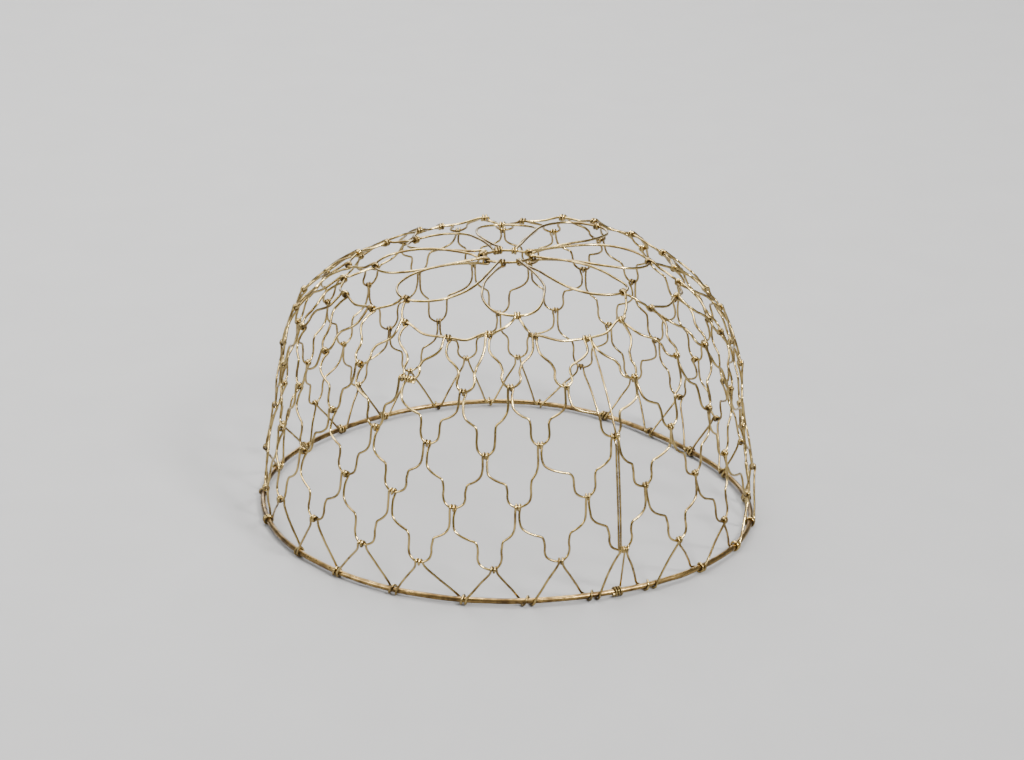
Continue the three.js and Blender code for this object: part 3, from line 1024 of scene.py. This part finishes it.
@dataclass
class Rim(CapWire):
    """The thick round wire at the brow.

    Attributes:
        stations: Number of its points for each loop of the net.
        kink: Greatest kink, in mm.
    """

    radius: float = 0.98
    stations: int = 3
    kink: float = 0.12

    def route(self, dice: random.Random) -> list[Wire]:
        """Returns the rim's one closed wire, slightly kinked by hand."""
        wire = Wire(self.radius, sides=24, step=1.2)
        for step in range(LOOPS * self.stations):
            azimuth, radius, height = RINGS[Row.RIM].place(step / self.stations)
            kink = self.kink * dice.uniform(-1, 1)
            wire.through(point_at(azimuth, radius + kink, height))
        return [wire]


@dataclass
class MendWire(CapWire):
    """A mend: one wire from a scallop, doubled past the lower rows, and wrapped on the rim.

    Attributes:
        rim_at: Number of its wrap on the rim.
        reach: Distance between its middle and that of the wire that it is wound over, in mm.
        rim_reach: The same on the rim, in mm.
        top_turns, upper_turns, lower_turns, rim_turns: Its turns, from the scallop down.
        to_upper, to_lower, to_rim: The free lengths between them.
        second_span: The second strand's free length.
        second_start, second_end: Places that the second strand runs through at its ends, in mm across, down
            and out.
    """

    radius: float = 0.36
    rim_at: float = 2.4
    reach: float = 0.86
    rim_reach: float = 1.42
    top_turns: Turns = Turns(-0.9, 0.5, 1.9)
    to_upper: Span = Span((0.6, 1.2, 0.9), (0.1, -1.6, 0.9), 1.3)
    upper_turns: Turns = Turns(0.2, 0.75, 1.1)
    to_lower: Span = Span((0.75, 1.6, 0.8), (-1.25, -1.6, 0.8), 0.35)
    lower_turns: Turns = Turns(-1.0, 0.9, 2.6)
    to_rim: Span = Span((0.9, 1.8, -0.8), (1.7, -2.6, -1.2))
    rim_turns: Turns = Turns(1.5, -1.72, 3.5)
    second_start: tuple[tuple[float, float, float], ...] = ((-0.2, 0.2, -0.9), (-0.2, 0.9, -0.2))
    second_span: Span = Span((-0.1, 2.2, 0.6), (-2.0, -1.7, 0.6), 0.3)
    second_end: tuple[tuple[float, float, float], ...] = ((-1.9, -0.6, 0.75), (-1.8, 0.5, 0.75))

    def route(self, dice: random.Random) -> list[Wire]:
        """Returns the long strand and the second strand beside it."""
        top, upper, lower = crossing(Row.SCALLOP, 3), crossing(Row.ROW4, 2), crossing(Row.ROW6, 2)
        foot = rim_crossing(self.rim_at)
        strand = Wire(self.radius, closed=False)
        self.top_turns.lay(strand, top, self.reach)
        self.to_upper.lay(strand, top, upper, upper.out)
        self.upper_turns.lay(strand, upper, self.reach)
        self.to_lower.lay(strand, upper, lower, upper.out)
        self.lower_turns.lay(strand, lower, self.reach)
        self.to_rim.lay(strand, lower, foot, lower.out)
        self.rim_turns.lay(strand, foot, -self.rim_reach, shade_weight=ROUND_RIM)
        second = Wire(self.radius, closed=False)
        second.through(*(upper.beside(*place) for place in self.second_start), shade_weight=UNDER_WRAP)
        self.second_span.lay(second, upper, lower, upper.out)
        second.through(*(lower.beside(*place) for place in self.second_end), shade_weight=UNDER_WRAP)
        return [strand, second]


@dataclass(frozen=True)
class Shade:
    """A socket of a finish's node tree, with arithmetic that adds nodes to the tree."""

    tree: "FinishTree"
    socket: bpy.types.NodeSocket

    def _sum(self, operation: str, *values: "Shade | float") -> "Shade":
        """Adds one Math node and returns its result."""
        return self.tree.node("ShaderNodeMath", {"operation": operation}, dict(enumerate(values)))

    def __add__(self, other: "Shade | float") -> "Shade":
        """Returns the sum."""
        return self._sum("ADD", self, other)

    __radd__ = __add__

    def __mul__(self, other: "Shade | float") -> "Shade":
        """Returns the product."""
        return self._sum("MULTIPLY", self, other)

    def clamped(self) -> "Shade":
        """Returns the value held between 0 and 1."""
        return self._sum("MINIMUM", self._sum("MAXIMUM", self, 0.0), 1.0)


MIX_FACTOR = 0
MIX_FIRST = 6
MIX_SECOND = 7
MIX_COLOUR = 2


@dataclass
class FinishTree:
    """The node tree of one material."""

    material: bpy.types.Material

    def node(self, kind: str, settings: dict[str, object], values: dict[int | str, object],
             output: int | str = 0) -> Shade:
        """Adds a node.

        Args:
            kind: The node's type.
            settings: Attributes that are set first.
            values: Numbers, colours or links of its inputs, by number or name.
            output: The output that is returned, by number or name.

        Returns:
            The node's output.
        """
        node = self.material.node_tree.nodes.new(kind)
        for name, value in settings.items():
            setattr(node, name, value)
        for name, value in values.items():
            if isinstance(value, Shade):
                self.material.node_tree.links.new(value.socket, node.inputs[name])
            else:
                node.inputs[name].default_value = value
        return Shade(self, node.outputs[output])

    def finish(self, surface: Shade) -> None:
        """Joins a surface to the material's output."""
        output = self.material.node_tree.nodes.new("ShaderNodeOutputMaterial")
        self.material.node_tree.links.new(surface.socket, output.inputs["Surface"])

    def place(self) -> Shade:
        """Returns the object coordinates."""
        return self.node("ShaderNodeTexCoord", {}, {}, "Object")

    def attribute(self, name: str) -> Shade:
        """Returns one of the piece's own values."""
        return self.node("ShaderNodeAttribute", {"attribute_name": name}, {}, "Fac")

    def noise(self, place: Shade, scale: float, detail: float = 3.0, roughness: float = 0.55,
              seed: float = 0.0) -> Shade:
        """Returns a noise value near 0.5, with features of 1 / scale metres."""
        values = {"Vector": place, "W": seed, "Scale": scale, "Detail": detail, "Roughness": roughness}
        return self.node("ShaderNodeTexNoise", {"noise_dimensions": "4D"}, values, "Fac")

    def mix(self, share: Shade, first: object, second: object) -> Shade:
        """Returns a colour between two others."""
        values = {MIX_FACTOR: share, MIX_FIRST: first, MIX_SECOND: second}
        return self.node("ShaderNodeMix", {"data_type": "RGBA"}, values, MIX_COLOUR)

    def step(self, value: Shade, low: float, high: float) -> Shade:
        """Returns a smooth step of a value from 0 at low to 1 at high."""
        return self.node("ShaderNodeMapRange", {"interpolation_type": "SMOOTHSTEP"},
                         {"Value": value, "From Min": low, "From Max": high}, 0)


@dataclass(frozen=True)
class Wear:
    """How the unevennesses of a wire's surface and its painted shade at crossings add up.

    Attributes:
        dull_patches, dull_drift: Their shares in where the metal is dull.
        dull_low, dull_high: Where dullness starts, and where it is full.
        dirt_patches, dirt_grains, painted_shade_share: Their shares in the mask of dirt and painted shade.
        dirt_low, dirt_high: Where that mask starts on metal without tarnish, and where it is full.
        dirt_tarnish: How much sooner that mask starts on metal that is all tarnish.
        dirt_open, painted_shade_boost: Its strength in the open, and how much more it has as painted shade
            at crossings.
        rough_dull, rough_dirt_and_shade, rough_grains: What each adds to the roughness.
        bump_lumps, bump_grains: Their shares in the height of the small dents.
        bump_strength: How strongly the dents show, from 0 to 1.
    """

    dull_patches: float = 0.75
    dull_drift: float = 0.45
    dull_low: float = 0.48
    dull_high: float = 0.76
    dirt_patches: float = 0.5
    dirt_grains: float = 0.5
    painted_shade_share: float = 0.16
    dirt_low: float = 0.66
    dirt_high: float = 0.80
    dirt_tarnish: float = 0.2
    dirt_open: float = 0.35
    painted_shade_boost: float = 0.35
    rough_dull: float = 0.12
    rough_dirt_and_shade: float = 0.22
    rough_grains: float = 0.10
    bump_lumps: float = 0.94
    bump_grains: float = 0.06
    bump_strength: float = 0.8


@dataclass(frozen=True)
class WireFinish:
    """Worn gold wire: pale where it is rubbed, ochre between, brown where dirt has stayed and as painted
    shade at crossings.

    Attributes:
        name: The material's name.
        pale: Colour of the rubbed metal.
        ochre: Colour of the duller metal.
        brown: Colour of the tarnish and dirt, and of the painted shade at crossings.
        tarnish: Share of the surface that is brown, from 0 to 1.
        rough: Roughness of the rubbed metal.
        dent: Depth of the small dents, in metres.
        drift, patches, grains, lumps: How fine each unevenness is, in features a metre.
        wear: How these add up.
    """

    name: str
    pale: Colour = (0.44, 0.325, 0.13, 1.0)
    ochre: Colour = (0.15, 0.10, 0.038, 1.0)
    brown: Colour = (0.03, 0.018, 0.009, 1.0)
    tarnish: float = 0.45
    rough: float = 0.14
    dent: float = 0.00006
    drift: float = 45.0
    patches: float = 300.0
    grains: float = 2600.0
    lumps: float = 500.0
    wear: Wear = Wear()

    def material(self) -> bpy.types.Material:
        """Makes the material.

        Returns:
            The finished material.
        """
        made = bpy.data.materials.new(self.name)
        made.use_nodes = True
        made.node_tree.nodes.clear()
        tree = FinishTree(made)
        wear = self.wear
        place = tree.place()
        # Painted shade: a vertex attribute, deepest where the wire passes under or round another, that
        # turns it brown and rougher.
        crossing_shade = tree.attribute("crossing_shade")
        drift = tree.noise(place, self.drift, detail=2.0)
        patches = tree.noise(place, self.patches, detail=2.0, roughness=0.5, seed=3.0)
        grains = tree.noise(place, self.grains, detail=3.0, roughness=0.65, seed=7.0)
        lumps = tree.noise(place, self.lumps, detail=1.0, roughness=0.5, seed=11.0)
        mottle = patches * wear.dull_patches + drift * wear.dull_drift
        dull = tree.step(mottle, wear.dull_low, wear.dull_high)
        gold = tree.mix(dull, self.pale, self.ochre)
        # Mask of random dirt from the noises, with painted shade added at crossings.
        stain_and_shade = patches * wear.dirt_patches + grains * wear.dirt_grains + crossing_shade * wear.painted_shade_share
        start = wear.dirt_low - wear.dirt_tarnish * self.tarnish
        dirt_and_shade = tree.step(stain_and_shade, start, wear.dirt_high)
        # The painted shade also strengthens the mask where the wire passes under or round another.
        dirt_and_shade = (dirt_and_shade * (wear.dirt_open + crossing_shade * wear.painted_shade_boost)).clamped()
        colour = tree.mix(dirt_and_shade, gold, self.brown)
        rough = (self.rough + dull * wear.rough_dull + dirt_and_shade * wear.rough_dirt_and_shade
                 + grains * wear.rough_grains).clamped()
        height = lumps * wear.bump_lumps + grains * wear.bump_grains
        bump = tree.node("ShaderNodeBump", {}, {
            "Strength": wear.bump_strength, "Distance": self.dent, "Height": height}, "Normal")
        surface = tree.node("ShaderNodeBsdfPrincipled", {}, {
            "Base Color": colour, "Metallic": 1.0, "Roughness": rough, "Normal": bump}, 0)
        tree.finish(surface)
        return made


@dataclass(frozen=True)
class RimFinish(WireFinish):
    """The rim's browner gold, duller and more deeply dented than the net's."""

    pale: Colour = (0.28, 0.185, 0.068, 1.0)
    ochre: Colour = (0.085, 0.052, 0.021, 1.0)
    brown: Colour = (0.028, 0.016, 0.009, 1.0)
    tarnish: float = 0.55
    rough: float = 0.21
    dent: float = 0.00012


LIT_POINT = Vector((0.0, 0.0, 0.05))


class LampKind(Enum):
    """The kinds of light."""

    SUN = "SUN"
    AREA = "AREA"


@dataclass(frozen=True)
class Lamp:
    """A soft light that shines at the cap.

    Attributes:
        name: The light's name.
        kind: What kind of light it is.
        place: Its place, in metres.
        size: Side of an area light in metres, or the width of a sun in radians.
        power: Watts, or watts a square metre for a sun.
    """

    name: str
    kind: LampKind
    place: tuple[float, float, float]
    size: float
    power: float

    def hang(self) -> None:
        """Adds the light and turns it to the cap's middle."""
        bpy.ops.object.light_add(type=self.kind.value, location=self.place)
        light = bpy.context.object
        light.name = self.name
        light.data.energy = self.power
        if self.kind is LampKind.SUN:
            light.data.angle = self.size
        else:
            light.data.size = self.size
        light.rotation_euler = (LIT_POINT - Vector(self.place)).to_track_quat("-Z", "Y").to_euler()


LAMPS = (
    Lamp("key_light", LampKind.SUN, (0.75, -0.8, 1.0), math.radians(12), 7.6),
    Lamp("fill_light", LampKind.AREA, (-1.2, -0.5, 0.9), 0.8, 22.0),
    Lamp("top_light", LampKind.AREA, (-0.1, 0.35, 1.4), 1.2, 57.0),
    Lamp("back_light", LampKind.AREA, (-0.25, 1.55, 0.72), 1.0, 15.0),
)


@dataclass
class Studio:
    """The pale floor, the soft lights and the camera at the photograph's angle.

    Attributes:
        aim: Point that the camera is set out from, in mm.
        elevation: The camera's angle above the floor, in degrees.
        distance: The camera's distance from the aim, in mm.
        lens: Focal length, in mm.
        sensor: Width of the film, in mm.
        shift: The view's shift, as shares of its width.
        floor_size: Side of the floor, in metres.
        floor_dark: Colour of the floor's darker mottles.
        floor_pale: Colour of its paler mottles.
        floor_mottle: How fine the mottles are, in features a metre.
        floor_rough: The floor's roughness.
        sky: Colour of the light from all round.
        sky_strength: How strong that light is.
        lamps: The lights.
    """

    aim: Vector = field(default_factory=lambda: AXIS + Vector((0.0, 0.0, 45.0)))
    elevation: float = 22.8
    distance: float = 790.0
    lens: float = 77.91
    sensor: float = 36.0
    shift: tuple[float, float] = (0.0031, 0.0056)
    floor_size: float = 14.0
    floor_dark: Colour = (0.225, 0.222, 0.219, 1.0)
    floor_pale: Colour = (0.25, 0.247, 0.243, 1.0)
    floor_mottle: float = 30.0
    floor_rough: float = 0.85
    sky: Colour = (0.80, 0.82, 0.86, 1.0)
    sky_strength: float = 0.3
    lamps: tuple[Lamp, ...] = LAMPS

    def make(self) -> None:
        """Builds the floor, the lights and the camera."""
        self._camera()
        self._floor()
        self._lights()

    def _camera(self) -> None:
        """Sets the camera at the fitted angle and distance."""
        angle = math.radians(self.elevation)
        back = Vector((0.0, -math.cos(angle), math.sin(angle)))
        bpy.ops.object.camera_add(location=(self.aim + back * self.distance) * METRES,
                                  rotation=(math.pi / 2 - angle, 0.0, 0.0))
        camera = bpy.context.object
        camera.name = "camera"
        camera.data.sensor_width = self.sensor
        camera.data.lens = self.lens
        camera.data.shift_x, camera.data.shift_y = self.shift
        bpy.context.scene.camera = camera

    def _floor(self) -> None:
        """Lays the pale floor."""
        bpy.ops.mesh.primitive_plane_add(size=self.floor_size)
        floor = bpy.context.object
        floor.name = "floor"
        made = bpy.data.materials.new("pale_floor")
        made.use_nodes = True
        tree = FinishTree(made)
        made.node_tree.nodes.clear()
        mottle = tree.noise(tree.place(), self.floor_mottle, detail=4.0)
        colour = tree.mix(mottle, self.floor_dark, self.floor_pale)
        values = {"Base Color": colour, "Roughness": self.floor_rough}
        surface = tree.node("ShaderNodeBsdfPrincipled", {}, values, 0)
        tree.finish(surface)
        floor.data.materials.append(made)

    def _lights(self) -> None:
        """Hangs the soft lights and sets the sky."""
        for lamp in self.lamps:
            lamp.hang()
        world = bpy.data.worlds.new("studio")
        bpy.context.scene.world = world
        world.use_nodes = True
        background = world.node_tree.nodes["Background"]
        background.inputs["Color"].default_value = self.sky
        background.inputs["Strength"].default_value = self.sky_strength


@dataclass
class GoldWireCap:
    """The whole cap: its wires from the crown down."""

    net: WireFinish = WireFinish("net_gold")
    lacing: WireFinish = WireFinish("lacing_gold", tarnish=0.5)
    mend: WireFinish = WireFinish("mend_gold")
    ring: WireFinish = WireFinish("ring_gold", tarnish=0.25)
    rim: RimFinish = RimFinish("rim_gold")

    def wires(self) -> list[CapWire]:
        """Returns the cap's wires."""
        slot, net = "net_gold", self.net
        return [
            TopRing("top_ring", "ring_gold", self.ring, seed=11),
            PetalRow("petal_row", slot, net, 0.47, 21),
            ScallopRow("scallop_row", slot, net, 0.46, 31),
            GobletRow("loop_row_3", slot, net, 0.45, 41, Row.SCALLOP, Row.ROW3,
                      bulge=1.2, half_width=3.15, spread_hooks=((3, 2.8),)),
            GobletRow("loop_row_4", slot, net, 0.43, 51, Row.ROW3, Row.ROW4,
                      bulge=0.8, half_width=3.3, end_coil=23),
            GobletRow("loop_row_5", slot, net, NET_RADIUS, 61, Row.ROW4, Row.ROW5,
                      shift=1, spread_hooks=((2, 3.2),)),
            GobletRow("loop_row_6", slot, net, NET_RADIUS, 71, Row.ROW5, Row.ROW6, half_width=4.2),
            Lacing("lacing", "lacing_gold", self.lacing, seed=81),
            MendWire("mend_wire", "mend_gold", self.mend, seed=91),
            Rim("rim", "rim_gold", self.rim, seed=101),
        ]

    def make(self) -> list[bpy.types.Object]:
        """Builds every wire.

        Returns:
            The finished pieces.
        """
        return [wire.make() for wire in self.wires()]


def main() -> None:
    """Builds the cap and its studio."""
    logging.basicConfig(level=logging.INFO, format="%(message)s")
    log.info("packed nodes: %d", len(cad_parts))
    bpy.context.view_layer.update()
    bpy.ops.object.select_all(action="DESELECT")
    Studio().make()
    GoldWireCap().make()


if __name__ == "__main__":
    main()
